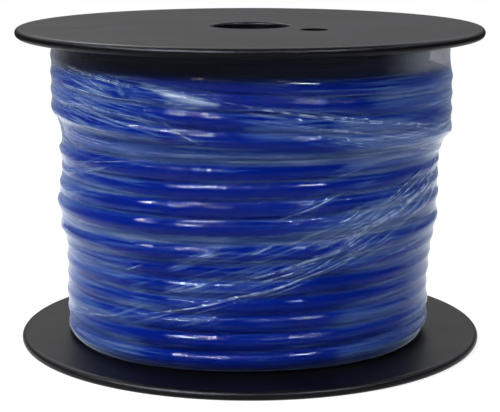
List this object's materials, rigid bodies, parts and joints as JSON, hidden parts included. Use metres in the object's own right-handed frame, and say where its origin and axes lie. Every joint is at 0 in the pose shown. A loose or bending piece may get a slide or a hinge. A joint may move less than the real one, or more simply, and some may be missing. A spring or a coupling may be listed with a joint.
{
  "type": "wire spool",
  "caption": "Moulded flanged reel wound with thick insulated stranded wire, held under clear stretch film, with a through bore and a drive hole.",
  "frame": {"origin": "centre of the lower flange's outer face, where the reel stands", "axes": "+Z is the reel's axis, upwards; +X points to the side where the top layer of wire lies lowest; the viewer's side is -Y"},
  "size_m": [0.203, 0.203, 0.138],
  "materials": {
    "reel_plastic": "satin black moulded plastic",
    "wire_jacket": "glossy deep blue insulation",
    "copper": "bare copper strands",
    "clear_film": "clear glossy stretch film with a faint grey-blue haze"
  },
  "bodies": {
    "root": {"lower_flange": "reel_plastic", "upper_flange": "reel_plastic", "barrel": "reel_plastic", "arbor_tube": "reel_plastic", "wire_inner_layers": "wire_jacket", "wire_outer_layer": "wire_jacket", "wire_conductor": "copper", "stretch_film": "clear_film"}
  },
  "joints": []
}
